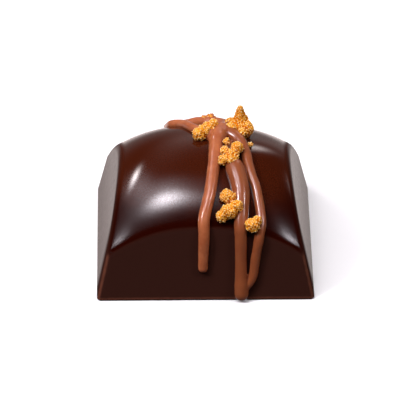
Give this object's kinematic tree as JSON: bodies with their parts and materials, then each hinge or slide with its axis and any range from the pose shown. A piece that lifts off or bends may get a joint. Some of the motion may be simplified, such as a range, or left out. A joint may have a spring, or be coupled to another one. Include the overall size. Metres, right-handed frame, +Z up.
{
  "type": "chocolate praline",
  "caption": "Square moulded praline of dark chocolate with a domed top, piped milk chocolate drizzle down the front and toffee crumbs",
  "frame": {"origin": "middle of the flat underside, on the table", "axes": "+Z up, -Y towards the front wall that the drizzle runs down, +X to the right seen from the front"},
  "size_m": [0.0278, 0.0288, 0.0197],
  "materials": {
    "dark_chocolate": "satin gloss, moulded",
    "milk_chocolate": "soft satin, piped",
    "toffee_crumb": "rough, grainy, slightly glassy"
  },
  "bodies": {
    "root": {"praline": "dark_chocolate"}
  },
  "joints": []
}
